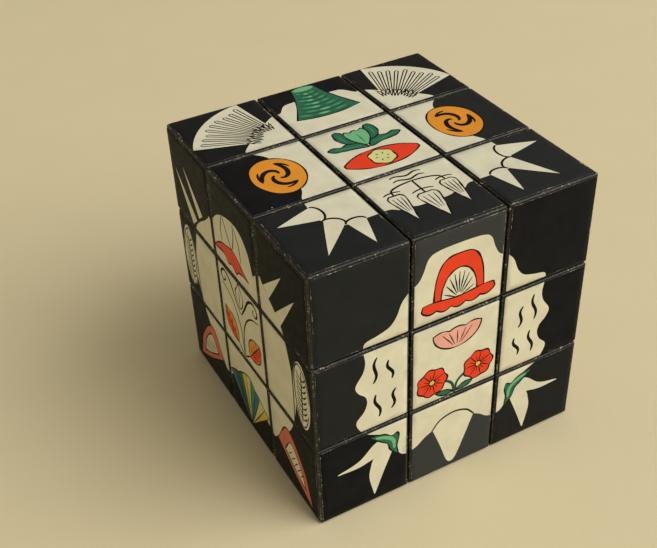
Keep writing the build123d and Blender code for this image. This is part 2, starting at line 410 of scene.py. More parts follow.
def sprout(o, foot=0.2):
    """Two low curled leaves and two upright ones round a pale heart-shaped bud."""
    def leaf(side):
        low = smooth([(0.2, 0.1), (2.6, 0.6), (4.8, 0.9), (6.4, 1.2), (7.6, 2.2), (6.4, 2.9),
                      (4.8, 2.4), (3.0, 2.9), (1.2, 2.2)])
        upright = smooth([(1.4, 2.6), (3.2, 2.9), (4.3, 4.8), (4.0, 7.2), (2.9, 7.5), (2.2, 6.2)])
        for outline, rib in ((low, [(1.4, 1.1), (4.0, 1.55), (6.2, 2.0)]),
                             (upright, [(2.9, 3.6), (3.3, 5.0), (3.3, 6.4)])):
            o.outlined("green", side(outline + (0, foot)))
            o.line(side(placed(rib, (0, foot))), ink="jade")
    both_sides(leaf)
    bud = mirrored([(0, 6.7), (0.8, 6.3), (1.9, 6.7), (2.3, 5.0), (1.6, 2.8), (0, 1.0)], steps=9)
    o.outlined("mint", bud + (0, foot))
    o.line([(0, foot + 1.9), (0.06, foot + 3.6), (0, foot + 5.2)], 0.26, "green")


def seed_pod(o, at, length, width):
    """A red blunt lens, its half width falling as the distance's power of 2.4, round a pale rosette
    with a ring of six seeds."""
    x = np.linspace(-1, 1, 22)
    y = width / 2 * (1 - 0.86 * np.abs(x) ** 2.4)
    low, high = xy(x * length / 2, -y), xy(x[::-1] * length / 2, y[::-1])
    o.outlined("red", placed(np.vstack([low, high]), at))
    o.outlined("lime", placed(rosette(width * 0.42, 6, 0.05), at, 30))
    for degrees in range(0, 360, 60):
        o.fill("green", placed(lens(0.7, 0.3, 6), placed([(1.15, 0)], at, degrees)[0], degrees))


def hanging_bud(o, at, width, length, stalk):
    """A bud on a stalk: square shoulders, then straight sides to its tip. A bow crosses its neck, and
    three veins run from it towards the tip."""
    o.line(curve([*stalk, at]), 0.42, taper=0.7)
    s = np.linspace(0, 1, 16)
    half = width / 2 * (1 - s) ** 0.85 * (1 - 0.45 * (1 - s) ** 16)
    right, left = xy(half, -length * s), xy(-half, -length * s)
    o.outlined("cream", placed(np.vstack([left, right[-2::-1]]), at))
    o.line(placed(arc(width * 0.5, 28, 152) * (1, 0.42), (at[0], at[1] + 0.2)), 0.36, taper=0.6)
    for lean in (-0.22, 0.0, 0.22):
        vein = np.array([(lean, -0.10), (0.85 * lean + 0.01, -0.32), (0.4 * lean, -0.64)])
        o.line(placed(vein * (width, length), at), 0.26)


def fanlight(o, at, across, up):
    """A red arch over a cream half circle whose nine bars fan out from the middle of its sill, which is
    a red band with a lobed lower edge."""
    t = np.linspace(0, np.pi, 30)
    outer = xy(across / 2 * np.sign(np.cos(t)) * np.abs(np.cos(t)) ** 0.62, up * np.sin(t) ** 0.8)
    o.outlined("red", placed(np.vstack([outer, [(-across / 2, -0.4), (across / 2, -0.4)]]), at))
    inner = xy(across * 0.36 * np.cos(t), up * 0.68 * np.sin(t) ** 0.85)
    o.outlined("cream", placed(inner, at))
    for degrees in np.linspace(14, 166, 9):
        r = np.radians(degrees)
        tip = np.array([across * 0.31 * np.cos(r), up * 0.59 * np.sin(r) ** 0.85])
        o.line(placed([tip * 0.2, tip * 0.6, tip], at), 0.32, taper=0.4)
    base = np.linspace(0, 1, 61)
    low = -1.35 - 0.65 * np.abs(np.sin(5 * np.pi * base))
    high = 0.75 + 0.45 * np.cos(2 * np.pi * base)
    x = across * 0.74 * (2 * base - 1)
    ends = 0.25 + 0.75 * np.sin(np.pi * base) ** 0.35
    band = np.vstack([xy(x, low * ends), xy(x[::-1], (high * ends)[::-1])[1:-1]])
    o.outlined("red", placed(band, at))


def wave_stroke(o, at, length, lean):
    """One brushed wave."""
    o.line(placed(wave(length, 0.42), at, lean), 0.66, taper=0.3)


def blossom(o, at, across, petals=7, ink="red"):
    """A flower seen from above: a rosette with a line between each two petals and a short one down the
    middle of each, round a yellow heart."""
    o.outlined(ink, placed(rosette(across / 2, petals, 0.06), at))
    for k in range(2 * petals):
        reach, width = (0.43, 0.30) if k % 2 else (0.30, 0.20)
        vein = [(across * 0.12, 0), (across * 0.2, 0.03), (across * reach, 0)]
        o.line(placed(vein, at, 180 * k / petals), width, taper=0.4)
    o.outlined("yellow", placed(ellipse(across * 0.21, across * 0.21), at))


def half_petal(o, at, across, up):
    """A bowl-shaped pink petal with a scalloped rim and five veins that spread from its foot."""
    t = np.linspace(np.pi, 2 * np.pi, 24)
    x = np.linspace(1, -1, 25)[1:-1]
    rim = xy(across / 2 * x, 0.45 * np.abs(np.sin(1.5 * np.pi * (x + 1))))
    bowl = xy(across / 2 * np.cos(t), up * np.sin(t))
    o.outlined("pink", placed(np.vstack([bowl, rim]), at))
    for degrees in (-58, -29, 0, 29, 58):
        r = np.radians(degrees)
        tip = np.array([across * 0.36 * np.sin(r), -0.5])
        foot = np.array([across * 0.10 * np.sin(r), -up * 0.82])
        o.line(placed([foot, (foot + tip) / 2 + (0.05, 0), tip], at), 0.26)


def forked_leaf(o, side):
    """Two curved cream points that part from one foot, held by a green bract with a pale stripe."""
    upper = curve([(12.6, -13.0), (16.6, -13.3), (20.2, -16.2), (24.6, -17.4)])
    crotch = curve([(24.6, -17.6), (20.4, -17.8), (17.2, -17.1)])
    lower = curve([(17.6, -18.2), (18.1, -21.6), (17.1, -26.6)])
    inner = curve([(16.9, -26.6), (15.2, -22.0), (13.2, -17.0)])
    o.fill("cream", side(np.vstack([upper, crotch, lower, inner])))
    bract = smooth([(17.9, -11.5), (15.0, -12.0), (13.3, -13.2), (12.1, -12.8), (11.8, -14.2),
                    (12.2, -16.2), (12.0, -18.3), (13.6, -16.6), (14.2, -14.8), (15.6, -13.6)])
    o.outlined("green", side(bract))
    stripe = curve([(16.6, -12.2), (14.4, -13.1), (13.0, -14.4), (12.7, -16.6)])
    o.line(side(stripe), 0.8, "mint", 0.4)


def pleated_kite(o, top, half_width, shoulder, tip, inks):
    """A kite of narrow pleats that all run from its upper edge to its lower tip. The upper edge falls
    from the top to each shoulder, and steps a little at each pleat."""
    x = np.linspace(-1, 1, len(inks) + 1)
    rise = top + (shoulder - top) * np.abs(x) ** 0.8 + 0.3 * (np.arange(len(x)) % 2)
    edge = xy(half_width * x, rise)
    tip = np.asarray(tip, float)
    for k, ink in enumerate(inks):
        o.fill(ink, [edge[k], tip, edge[k + 1]])
    for point in edge:
        o.line([point, (point + tip) / 2 + (0.04, 0), tip], 0.3)
    for a, b in zip(edge, edge[1:]):
        o.line([a, (a + b) / 2 + (0, 0.15), b], 0.34, taper=0.9)


def flame_leaf(o, side, foot=(12.4, -19.6), shoulder=(17.0, -13.6), tip=(25.9, -27.0)):
    """A broad salmon leaf with one point and a cream heart, which five short strokes cross."""
    foot, shoulder, tip = (np.asarray(p, float) for p in (foot, shoulder, tip))
    outward = (shoulder + tip) / 2 + (1.6, 1.0)
    inward = (foot + tip) / 2 + (0.4, -0.8)
    back = curve([foot, shoulder, outward, tip])
    belly = curve([tip, inward, foot])
    border = np.vstack([back, belly[1:-1]])
    o.outlined("salmon", side(border))
    middle = border.mean(0)
    o.outlined("cream", side(middle + (border - middle) * 0.58))
    along = (tip - foot) / np.hypot(*(tip - foot))
    across = np.array([-along[1], along[0]])
    for k in np.linspace(-2.6, 2.4, 5):
        reach = across * (1.6 - 0.22 * abs(k))
        bend = [middle + along * (k + 0.3 * j) + reach * f for j, f in enumerate((-1, 0.1, 1))]
        o.line(side(bend), 0.26, taper=0.5)


def two_tone_leaf(o, side, at, length, width, degrees):
    """A lens split along its midrib, orange above and red below, with three veins to each edge."""
    o.outlined("orange", side(placed(lens(length, width), at, degrees)))
    half = lens(length * 0.93, width * 0.86)[:14]
    o.fill("red", side(placed(half, at, degrees)))
    rib = [(-length * 0.46, 0), (0, 0.04), (length * 0.42, 0)]
    o.line(side(placed(rib, at, degrees)), 0.34, taper=0.5)
    for x in (-0.22, 0.0, 0.2):
        for up in (-1, 1):
            vein = [(x * length, 0), ((x + 0.06) * length, 0.15 * width * up),
                    ((x + 0.13) * length, 0.27 * width * up)]
            o.line(side(placed(vein, at, degrees)), 0.24)


# ======== The six ornaments ==========================================================================
def top_ornament():
    """Fans, discs, buds and star rays round a cream middle."""
    o = Ornament(1)
    ground = mirrored([(0, 22.9), (4, 22.8), (6.4, 22.4), (8.2, 20.2), (9.5, 20.0), (12.0, 18.5),
                       (19.4, 11.5), (19.7, 9.4), (17.4, 5.6), (17.2, -4.8), (18.7, -8.6), (19.2, -11.4),
                       (19.1, -16.3), (16.4, -19.2), (12.6, -19.3), (9.4, -19.3), (7.7, -19.4),
                       (6.4, -20.3), (5.0, -20.0), (3.2, -20.8), (0, -20.9)])
    o.fill("cream", ground)
    both_sides(lambda side: folded_fan(o, side))
    ribbed_bell(o)
    sprout(o)
    seed_pod(o, (0, -3.9), 15.2, 6.0)
    whorled_disc(o, (-18.8, 0.2), 9.8, 12.2, 40)
    whorled_disc(o, (18.1, -0.2), 9.8, 12.4, 100)
    rays = (((26.2, -14.2), (19.1, -13.9), 4.6), ((22.7, -25.2), (17.6, -17.6), 3.9),
            ((14.4, -26.0), (14.3, -19.3), 3.8))
    both_sides(lambda side: star_rays(o, side, rays, (13.0, -12.8)))
    for x, v, width in ((-5.2, -16.2, 3.8), (5.2, -16.2, 3.8), (0.0, -17.9, 4.8)):
        hanging_bud(o, (x, v), width, 8.0, [(0, -13.6), (0.52 * x, -13.9), (0.92 * x, -14.7)])
    for rise in (-11.4, -12.7):
        o.line(placed(wave(6.4, 0.3, 1.5), (0, rise), 90), 0.44)
    return o


def front_ornament():
    """A scalloped cartouche with a fanlight, a petal, two blossoms, waves and forked leaves."""
    o = Ornament(2)
    ground = mirrored([(0, 24.8), (4.3, 24.6), (6.2, 23.7), (7.2, 21.2), (8.2, 19.5), (9.9, 18.5),
                       (11.4, 16.8), (12.4, 14.3), (13.8, 12.6), (16.0, 11.8), (18.6, 11.1), (18.8, 9.2),
                       (18.5, 6.8), (19.0, 4.7), (20.5, 2.3), (20.0, 0.5), (18.6, -1.0), (18.3, -2.7),
                       (19.0, -4.5), (20.5, -6.2), (20.1, -8.1), (18.4, -10.2), (15.4, -11.9),
                       (12.7, -14.5), (11.9, -18.0), (10.4, -19.4), (8.0, -19.0), (5.4, -17.1),
                       (0, -15.4)], steps=4)
    o.fill("cream", ground)
    fanlight(o, (0.1, 13.3), 10.2, 9.4)
    half_petal(o, (0.2, 6.3), 10.2, 4.2)

    def stalk(side):
        stem = curve([(0.1, -8.9), (0.5, -6.6), (2.0, -5.2), (4.6, -4.4)])
        o.line(side(stem), 0.6, "pine", 0.7)
        o.outlined("green", side(placed(lens(3.9, 1.3), (2.2, -8.0), 14)))
    both_sides(stalk)
    for x in (-4.9, 5.1):
        blossom(o, (x, -4.3), 6.3)
    for x, v, lean, length in ((-16.6, 4.2, -8, 5.8), (-13.6, 3.2, 8, 4.6), (-16.2, -4.2, 6, 5.6),
                               (-12.9, -3.9, -12, 4.6), (17.0, 4.0, 4, 6.0), (14.1, 2.8, -10, 4.8),
                               (16.8, -4.0, 6, 5.4), (13.5, -4.0, 12, 4.6)):
        wave_stroke(o, (x, v), length, lean)
    point = curve([(-4.5, -16.4), (-2.6, -21.5), (-1.0, -26.2), (0.1, -27.1), (1.2, -26.0),
                   (3.0, -21.5), (4.9, -16.4)])
    o.fill("cream", np.vstack([point, [(3.0, -14.9), (0.2, -14.2), (-2.8, -14.9)]]))
    o.line(curve([(-4.6, -16.8), (-2.8, -14.8), (0.1, -14.0), (3.0, -14.8), (4.9, -16.8)]),
           0.42, taper=0.7)
    both_sides(lambda side: forked_leaf(o, side))
    return o


def left_ornament():
    """A ribbed dome, fronds and leaves on one stem, and flame leaves round a pleated kite."""
    o = Ornament(3)
    dome = curve([(-10.4, 15.0), (-8.6, 18.4), (-5.2, 21.0), (0, 22.4), (3.6, 21.8), (6.2, 19.4),
                  (7.6, 15.4)])
    o.fill("cream", np.vstack([dome, [(7.6, 9.5), (-10.4, 9.5)]]))
    ground = mirrored([(0, 10.0), (9.6, 17.0), (11.4, 16.6), (13.4, 15.0), (15.7, 13.4), (18.4, 10.6),
                       (20.4, 4.5), (21.8, -1.9), (20.3, -8.8), (17.8, -13.6), (12.4, -19.5),
                       (9.4, -20.4), (0, -15.0)])
    o.fill("cream", ground)
    for line in ([(-5.2, 15.2), (-5.3, 18.2), (-4.4, 21.2)], [(-1.0, 15.8), (-2.6, 18.4), (-4.0, 21.6)],
                 [(-0.8, 15.8), (0.2, 18.6), (0.5, 22.1)], [(2.8, 15.0), (2.4, 18.6), (0.9, 21.6)]):
        o.line(curve(line), 0.34, taper=0.5)
    leaf = smooth([(-8.8, 12.5), (-6.4, 14.4), (-3.4, 15.3), (-0.6, 15.8), (1.6, 14.9), (3.4, 13.6),
                   (5.4, 12.5), (3.2, 12.5), (1.2, 12.0), (0.2, 11.2), (-1.6, 12.1), (-3.2, 11.5),
                   (-5.0, 12.7)], steps=6)
    o.outlined("red", leaf)
    for foot, tip, width in (((12.8, 15.6), (19.4, 22.8), 2.6), ((16.2, 11.6), (23.8, 20.8), 2.7),
                             ((-18.6, 11.6), (-26.0, 20.4), 2.9), ((-15.2, 14.6), (-21.8, 22.6), 2.4)):
        o.fill("cream", ray(foot, tip, width))

    def right_half(side):
        frond = curve([(0.2, 1.6), (2.0, 4.2), (4.0, 7.2), (6.2, 8.2), (7.7, 7.0), (7.1, 5.6),
                       (5.9, 6.0), (6.1, 6.9)])
        o.line(side(frond), 0.62, taper=0.3)
        stem = curve([(0.2, -8.8), (0.3, -4.6), (0.9, -1.4), (2.6, 1.8), (5.0, 3.8), (8.0, 4.8)])
        o.line(side(stem), 0.4)
        o.line(side([(0.1, -8.6), (1.2, -7.9), (2.6, -6.8)]), 0.45)
        two_tone_leaf(o, side, (5.0, -4.0), 7.8, 5.0, 50)
        o.line(side(placed(arc(13.0, -40, 40) * (0.16, 1), (18.9, -0.2))), 0.42)
        o.fill("cream", side(placed(ellipse(6.0, 15.0), (24.2, 0.4), 2)))
        o.line(side(curve(placed(ellipse(5.2, 14.0, 0.05, 14), (24.2, 0.4), 2))), 0.36)
        o.line(side(curve([(24.5, 6.2), (24.3, 2.0), (24.2, -2.6), (24.0, -6.0)])), 0.44)
        for v in np.arange(5.0, -5.0, -1.3):
            for reach in (-1.7, 1.7):
                vein = [(24.3, v - 0.9), (24.3 + 0.6 * reach, v - 0.35), (24.3 + reach, v + 0.55)]
                o.line(side(curve(vein)), 0.34)
        flame_leaf(o, side)
    both_sides(right_half)
    o.outlined("cream", mirrored([(0, 8.8), (0.5, 8.0), (1.5, 6.4), (1.3, 4.6), (0, 3.0)], steps=9))
    o.line([(0, 3.6), (0.05, 5.2), (0, 7.2)], 0.3)
    inks = ("blue", "pine", "green", "yellow", "lime", "jade", "blue", "lime", "yellow")
    pleated_kite(o, -13.4, 8.8, -18.6, (-0.3, -27.4), inks)
    return o


def right_ornament():
    """A ringed rosette with flame leaves in the corners and discs on the edges."""
    o = Ornament(4)
    o.fill("cream", rosette(19.2, 8, 0.07, 120))
    o.outlined("red", rosette(8.2, 8, 0.10, 96))
    o.outlined("cream", rosette(6.4, 8, 0.12, 96))
    for k in range(8):
        o.outlined("green", placed(lens(5.6, 2.3), placed([(3.4, 0)], degrees=45 * k)[0], 45 * k))
    o.outlined("orange", ellipse(3.2, 3.2))
    for k in range(4):
        at = placed([(13.2, 0)], degrees=90 * k)[0]
        o.outlined("mint", placed(lens(5.2, 3.0), at, 90 * k))
        o.line(placed([(-1.8, 0), (0, 0.05), (1.8, 0)], at, 90 * k), 0.3)
        for lean in (-24, 24):
            wave_stroke(o, placed([(13.4, 0)], degrees=90 * k + lean)[0], 4.0, 90 * k + lean - 90)
        turned = (lambda points, degrees=90 * k: placed(points, degrees=degrees))
        flame_leaf(o, turned, (13.6, -19.6), (19.6, -13.6), (26.2, -26.2))
        fruit_slice(o, placed([(22.6, 0)], degrees=90 * k)[0], 7.6)
    return o


def back_ornament():
    """The cartouche again, with a fan in each upper corner and a kite below."""
    o = Ornament(5)
    ground = mirrored([(0, 22.8), (7.0, 21.4), (9.6, 18.6), (13.0, 15.0), (18.8, 12.0), (19.2, 8.6),
                       (20.8, 4.6), (18.9, 0.4), (20.8, -4.4), (18.8, -9.4), (13.0, -14.2),
                       (11.4, -18.4), (9.6, -19.6), (0, -15.4)], steps=7)
    o.fill("cream", ground)
    both_sides(lambda side: folded_fan(o, side))
    fanlight(o, (0, 12.6), 10.2, 8.6)
    sprout(o, 1.0)
    blossom(o, (0, -4.4), 8.2, 8, "salmon")

    def half(side):
        for v, lean in ((5.0, 10), (-1.0, -10), (-6.0, 12)):
            o.line(side(placed(wave(4.4, 0.42), (14.6, v), lean)), 0.6, taper=0.3)
        forked_leaf(o, side)
    both_sides(half)
    inks = ("red", "cream", "orange", "cream", "orange", "cream", "orange", "cream", "red")
    pleated_kite(o, -14.0, 7.8, -19.4, (0.0, -27.2), inks)
    return o


def bottom_ornament():
    """Star rays from all four corners of a cream rosette."""
    o = Ornament(6)
    o.fill("cream", rosette(17.6, 4, -0.13, 120))
    rays = (((26.2, -14.4), (19.1, -14.1), 4.6), ((24.2, -24.2), (18.2, -18.2), 4.4),
            ((14.4, -26.2), (14.1, -19.1), 4.6))
    for k in range(4):
        turned = (lambda points, degrees=90 * k: placed(points, degrees=degrees))
        o.fill("cream", turned([(8.0, -8.0), (19.4, -9.4), (19.4, -16.0), (16.0, -19.4), (9.4, -19.4)]))
        star_rays(o, turned, rays, (12.8, -12.8))
        fruit_slice(o, placed([(18.6, 0)], degrees=90 * k)[0], 9.6, segments=10)
        petal = lens(6.4, 2.8)
        o.outlined("salmon", placed(petal, placed([(9.2, 9.2)], degrees=90 * k)[0], 90 * k + 45))
    o.outlined("green", rosette(6.6, 6, 0.14, 96))
    o.outlined("mint", rosette(4.6, 6, 0.16, 96))
    o.outlined("red", rosette(2.4, 6, 0.12, 72))
    return o


ORNAMENTS = {"top": top_ornament, "front": front_ornament, "left": left_ornament,
             "right": right_ornament, "back": back_ornament, "bottom": bottom_ornament}


# ======== Materials ==================================================================================
class Finish:
    """A material whose nodes are added in short calls, ending in one Principled shader."""

    def __init__(self, name, roughness=0.5, metallic=0.0, specular=0.5):
        self.material = bpy.data.materials.new(name)
        self.material.use_nodes = True
        self.tree = self.material.node_tree
        self.shader = self.tree.nodes["Principled BSDF"]
        self.shader.inputs["Roughness"].default_value = roughness
        self.shader.inputs["Metallic"].default_value = metallic
        self.shader.inputs["Specular IOR Level"].default_value = specular
        self.place = self.add("ShaderNodeTexCoord").outputs["Object"]

    def add(self, kind, inputs=(), **settings):
        """A new node. Inputs maps a socket's name or number to a value or to another node's output."""
        node = self.tree.nodes.new(kind)
        for name, value in settings.items():
            setattr(node, name, value)
        for key, value in dict(inputs).items():
            if isinstance(value, bpy.types.NodeSocket):
                self.tree.links.new(value, node.inputs[key])
            else:
                node.inputs[key].default_value = value
        return node

    def maths(self, operation, a, b=0.0, clamp=False):
        """A sum, product or other operation on two values."""
        node = self.add("ShaderNodeMath", {0: a, 1: b}, operation=operation, use_clamp=clamp)
        return node.outputs[0]

    def noise(self, scale, detail=2.0, where=None, roughness=0.5):
        """Smooth noise from 0 to 1, its scale in lumps per metre of Object coordinates."""
        inputs = {"Vector": where or self.place, "Scale": scale, "Detail": detail,
                  "Roughness": roughness}
        return self.add("ShaderNodeTexNoise", inputs).outputs[0]

    def ramp(self, value, low, high, to_low=0.0, to_high=1.0):
        """The value's stretch from low to high spread over to_low to to_high, and held outside it."""
        inputs = {"Value": value, "From Min": low, "From Max": high,
                  "To Min": to_low, "To Max": to_high}
        return self.add("ShaderNodeMapRange", inputs).outputs["Result"]

    def blend(self, share, a, b):
        """Two colours mixed, as a colour output. A colour mix has its share in socket 0, its colours in
        sockets 6 and 7 and the result in output 2."""
        colours = {6: a, 7: b}
        for key, colour in colours.items():
            if not isinstance(colour, bpy.types.NodeSocket):
                colours[key] = (*colour, 1)
        return self.add("ShaderNodeMix", {0: share, **colours}, data_type="RGBA").outputs[2]

    def scaled(self, x, y, z, where=None):
        """Coordinates stretched by a factor along each axis."""
        inputs = {"Vector": where or self.place, "Scale": (x, y, z)}
        return self.add("ShaderNodeMapping", inputs).outputs[0]

    def set(self, socket, value):
        """Leads a pattern to a socket of the shader."""
        self.tree.links.new(value, self.shader.inputs[socket])

    def bump(self, height, distance):
        """Raises the surface by the height times the distance, in metres."""
        inputs = {"Height": height, "Distance": distance}
        self.set("Normal", self.add("ShaderNodeBump", inputs).outputs["Normal"])


def specks(f, scale, share, size):
    """Sparse small dots: cells of a Voronoi pattern whose random shade is high, near their middles."""
    cell = f.add("ShaderNodeTexVoronoi", {"Vector": f.place, "Scale": scale})
    chosen = f.add("ShaderNodeSeparateColor", {"Color": cell.outputs["Color"]}).outputs[0]
    near = f.ramp(cell.outputs["Distance"], size, size * 0.6)
    return f.maths("MULTIPLY", near, f.ramp(chosen, 1 - share, 1 - share + 0.01))


def distance_to_edge(f):
    """How far a point of a cap is from the cubie's nearest edge, in metres. Each coordinate's distance
    to the nearest plane that bounds a cubie is found; on a face one of the three is zero, so the sum
    of the two smallest is small only near an edge."""
    axes = f.add("ShaderNodeSeparateXYZ", {"Vector": f.place})
    gaps = []
    for axis in axes.outputs:
        size = f.maths("ABSOLUTE", axis)
        a, b, c = (f.maths("ABSOLUTE", f.maths("SUBTRACT", size, plane * MM))
                   for plane in (LABEL_FOOT, CUBIE_NEAR, CUBIE_SIDE))
        gaps.append(f.maths("MINIMUM", a, f.maths("MINIMUM", b, c)))
    a, b, c = gaps
    largest = f.maths("MAXIMUM", a, f.maths("MAXIMUM", b, c))
    return f.maths("SUBTRACT", f.maths("ADD", a, f.maths("ADD", b, c)), largest)


def black_plastic():
    """Satin black moulding: fine scratches, duller and paler along worn edges, with pale nicks."""
    f = Finish("black_plastic", 0.34, specular=0.3)
    edge = distance_to_edge(f)
    worn = f.ramp(f.maths("ADD", edge, f.maths("MULTIPLY", f.noise(900, 4), 0.0006)), 0.00062, 0.00034)
    nicks = f.maths("MULTIPLY", f.ramp(edge, 0.00036, 0.00024), f.ramp(f.noise(2600, 3), 0.55, 0.63))
    nicks = f.maths("MULTIPLY", nicks, f.ramp(f.noise(210, 3), 0.45, 0.62), clamp=True)
    mottled = f.blend(f.noise(160, 3), *PLASTIC)
    rubbed = f.blend(f.maths("MULTIPLY", worn, 0.75), mottled, PLASTIC_RUBBED)
    f.set("Base Color", f.blend(nicks, rubbed, PLASTIC_NICKED))
    scratches = f.ramp(f.noise(1, 3, f.scaled(5200, 420, 300), 0.6), 0.35, 0.7, 0.27, 0.42)
    f.set("Roughness", f.maths("ADD", scratches, f.maths("MULTIPLY", worn, 0.2)))
    f.bump(f.maths("ADD", f.noise(2200, 3), f.maths("MULTIPLY", nicks, -1.5)), 0.00001)
    return f.material


def core_plastic():
    """Natural moulded plastic with a fine grain and faint flow marks."""
    f = Finish("core_plastic", 0.45)
    flow = f.noise(1, 3, f.scaled(260, 260, 900))
    f.set("Base Color", f.blend(flow, *NATURAL))
    f.set("Roughness", f.ramp(f.noise(1800, 3), 0.3, 0.7, 0.36, 0.54))
    f.bump(f.noise(3400, 2), 0.000006)
    return f.material


def steel(name, light, tarnished, grain):
    """Bright steel with fine marks, stretched by the grain's three factors, and a slight tarnish."""
    f = Finish(name, 0.3, 1.0)
    marks = f.noise(1, 4, f.scaled(*grain))
    f.set("Base Color", f.blend(f.ramp(f.noise(400, 3), 0.35, 0.7), light, tarnished))
    f.set("Roughness", f.ramp(marks, 0.3, 0.7, 0.22, 0.42))
    f.bump(marks, 0.000004)
    return f.material


def label_edge_distance(f):
    """How far a point is from its label's edge, as a share of its side, from the label's own map."""
    at = f.add("ShaderNodeUVMap", uv_map="label").outputs["UV"]
    across = f.add("ShaderNodeSeparateXYZ", {"Vector": at})
    u, v = (f.maths("ABSOLUTE", f.maths("SUBTRACT", across.outputs[k], 0.5)) for k in (0, 1))
    return at, f.maths("SUBTRACT", 0.5, f.maths("MAXIMUM", u, v))


def worn_label(f, edge, printed, soil_colour, soiling):
    """Wear near a label's edge: soil, a thin rubbed line, and chips down to the paper where two noises
    are both high. Returns the colour and the chips."""
    soil = f.maths("MULTIPLY", f.ramp(edge, 0.06, 0.0), f.ramp(f.noise(500, 3), 0.40, 0.75))
    soiled = f.blend(f.maths("MULTIPLY", soil, soiling), printed, soil_colour)
    rubbed = f.blend(f.ramp(edge, 0.010, 0.003, 0.0, 0.30), soiled, LABEL_RUBBED)
    ragged = f.maths("ADD", edge, f.maths("MULTIPLY", f.noise(1900, 5), 0.034))
    patchy = f.ramp(f.noise(260, 3), 0.48, 0.64)
    chips = f.maths("MULTIPLY", f.ramp(ragged, 0.0220, 0.0185), patchy, clamp=True)
    return f.blend(chips, rubbed, LABEL_CHIPPED), chips


def ink(name, colour):
    """A printed ink under a satin film: slow mottling, a brushed streak up the label, fine paper grain,
    dust, and flecks of bare paper where the edge has chipped. On black, a painted sheen lightens it by a
    share set on each label."""
    dark = name in ("black", "line")
    f = Finish(f"ink_{name}", specular=0.03 if dark else 0.25)
    at, edge = label_edge_distance(f)
    base = np.array(colour)
    if dark:
        low, high = base * 0.75, base * 1.4 + 0.001
        streak_to, streak_share = high, 0.5
    else:
        low, high = base * 0.90, np.minimum(base * 1.05, 0.9)
        streak_to, streak_share = low, 0.25
    mottled = f.blend(f.ramp(f.noise(240, 4), 0.3, 0.7), low, high)
    streak = f.ramp(f.noise(1, 3, f.scaled(46, 2.2, 1, at)), 0.35, 0.72, 0.0, streak_share)
    streaked = f.blend(streak, mottled, streak_to)
    # A painted sheen: black lightened by a share that each label carries.
    if name == "black":
        sheen_share = f.add("ShaderNodeAttribute", attribute_name="painted_sheen").outputs["Fac"]
        streaked = f.blend(sheen_share, streaked, BLACK_SHEEN)
    worn, chips = worn_label(f, edge, streaked, base * 0.35, 0.0 if dark else 0.55)
    dust = f.maths("MULTIPLY", specks(f, 620, 0.016, 0.13), 0.9)
    f.set("Base Color", f.blend(dust, worn, LABEL_DUST))
    roughness = (0.36, 0.50) if dark else (0.40, 0.56)
    f.set("Roughness", f.ramp(f.noise(700, 4), 0.3, 0.7, *roughness))
    f.bump(f.maths("ADD", f.noise(3200, 2), f.maths("MULTIPLY", chips, -2.0)), 0.000007)
    return f.material


def cut_edge():
    """The cut rim of a label: dark film with pale paper showing through in places."""
    f = Finish("cut_edge", 0.6)
    bare = f.ramp(f.noise(1300, 4), 0.52, 0.62)
    patchy = f.ramp(f.noise(210, 3), 0.50, 0.68)
    f.set("Base Color", f.blend(f.maths("MULTIPLY", bare, patchy), CUT_FILM, CUT_PAPER))
    f.bump(f.noise(4000, 2), 0.00001)
    return f.material


def dress_nodes(materials):
    """Gives every node of the frame the material of its slot."""
    slots = {row["node"]: row["material_slot"] for row in frame["record"]["subparts"]}
    for name, node in frame["nodes"].items():
        node.data.materials.clear()
        node.data.materials.append(materials[slots[name]])


def add_object(name, data):
    """An object in the scene, at the origin."""
    made = bpy.data.objects.new(name, data)
    bpy.context.scene.collection.objects.link(made)
    return made


def rings(count, facets):
    """The faces between rings of points, each joined to the next and closed on itself."""
    ring, facet = np.meshgrid(np.arange(count - 1), np.arange(facets), indexing="ij")
    here, ahead = (ring * facets + facet).ravel(), (ring * facets + (facet + 1) % facets).ravel()
    return np.column_stack([here, here + facets, ahead + facets, ahead])


# ======== Springs ====================================================================================
def coil_spring(side, material):
    """A spring with closed ends, in the space of the frame's own. Its wire's middle goes round the axis
    at a fixed radius, and climbs as the angle plus a ripple that slows it near both ends. Round it goes
    a circle of the wire's radius. It rests on its hub's floor."""
    out = np.array(SIDES[side][2], float)
    low, high = (np.array(corner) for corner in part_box(f"spring_{side}"))
    foot, head = sorted((low @ out, high @ out))
    across = np.abs(high - low)[out == 0].max()
    wire = SPRING_WIRE * MM / 2
    s = np.linspace(0, 1, int(SPRING_TURNS * SPRING_STEPS))[:, None]
    climb = s - SPRING_CLOSE / (2 * np.pi) * np.sin(2 * np.pi * s)
    angle = 2 * np.pi * SPRING_TURNS * s
    around = 2 * np.pi * np.arange(SPRING_FACETS)[None, :] / SPRING_FACETS
    radius = across / 2 - wire + wire * np.cos(around)
    height = foot + wire + (head - foot - 2 * wire) * climb + wire * np.sin(around)
    right, up = (np.array(d, float) for d in SIDES[side][:2])
    points = ((radius * np.cos(angle))[..., None] * right + (radius * np.sin(angle))[..., None] * up
              + height[..., None] * out).reshape(-1, 3)
    sides = rings(len(s), SPRING_FACETS)
    first = np.arange(SPRING_FACETS)
    last = (first + len(points) - SPRING_FACETS)[::-1]
    mesh = bpy.data.meshes.new(f"coil_{side}")
    mesh.from_pydata(points.tolist(), [], [*sides.tolist(), first.tolist(), last.tolist()])
    mesh.polygons.foreach_set("use_smooth", [True] * len(sides) + [False] * 2)
    mesh.materials.append(material)
    piece = add_object(f"coil_{side}", mesh)
    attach(piece, f"{side}_centre")
    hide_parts(f"spring_{side}")
    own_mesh(piece)


# ======== Labels =====================================================================================
def rounded_square(side, corner):
    """The outline of a square with round corners: a quarter circle about each corner's middle."""
    reach = side / 2 - corner
    corners = []
    for k, (x, y) in enumerate(((1, 1), (-1, 1), (-1, -1), (1, -1))):
        corners.append(arc(corner, 90 * k, 90 * k + 90, 5) + (x * reach, y * reach))
    return np.vstack(corners)


